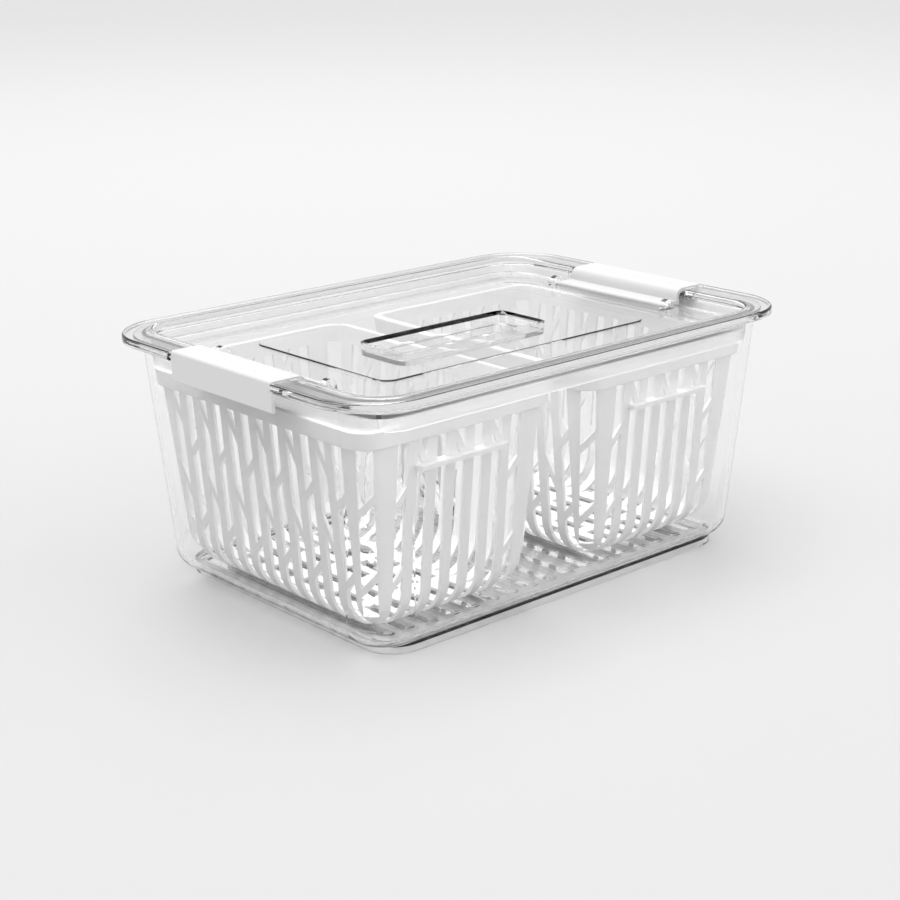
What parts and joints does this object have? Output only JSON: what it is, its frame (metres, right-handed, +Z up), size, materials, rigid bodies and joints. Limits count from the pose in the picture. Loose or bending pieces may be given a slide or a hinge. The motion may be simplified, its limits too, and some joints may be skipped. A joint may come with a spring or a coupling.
{
  "type": "fridge bin",
  "caption": "Clear rectangular food bin with a recessed clear lid, white end latches on hinges and white lattice drain baskets that lift out.",
  "frame": {"origin": "middle of the footprint, on the shelf the bin stands on", "axes": "+X along the bin's length from the left latch to the right latch, +Y across its width, +Z up"},
  "size_m": [0.32, 0.226, 0.1406],
  "materials": {
    "clear_bin": "clear moulded PET",
    "clear_lid": "clear moulded PET",
    "white_latch": "satin moulded polypropylene",
    "white_basket": "smooth moulded polypropylene"
  },
  "bodies": {
    "bin": {"bin": "clear_bin"},
    "lid": {"lid": "clear_lid"},
    "latch_left": {"latch_left": "white_latch"},
    "latch_right": {"latch_right": "white_latch"},
    "basket_left": {"basket_left": "white_basket"},
    "basket_right": {"basket_right": "white_basket"}
  },
  "joints": [
    {"name": "lid_lift", "type": "slide", "parent": "bin", "child": "lid", "axis": [0, 0, 1], "range_m": [0, 0.28]},
    {"name": "latch_left_hinge", "type": "hinge", "parent": "lid", "child": "latch_left", "pos_m": [-0.125, 0, 0.13245], "axis": [0, 1, 0], "range_deg": [0, 110]},
    {"name": "latch_right_hinge", "type": "hinge", "parent": "lid", "child": "latch_right", "pos_m": [0.125, 0, 0.13245], "axis": [0, -1, 0], "range_deg": [0, 110]},
    {"name": "basket_left_lift", "type": "slide", "parent": "bin", "child": "basket_left", "axis": [0, 0, 1], "range_m": [0, 0.14]},
    {"name": "basket_right_lift", "type": "slide", "parent": "bin", "child": "basket_right", "axis": [0, 0, 1], "range_m": [0, 0.14]}
  ],
  "couplings": [
    {"joint": "basket_left_lift", "follows": "lid_lift", "ratio": 0.5},
    {"joint": "basket_right_lift", "follows": "lid_lift", "ratio": 0.5}
  ]
}
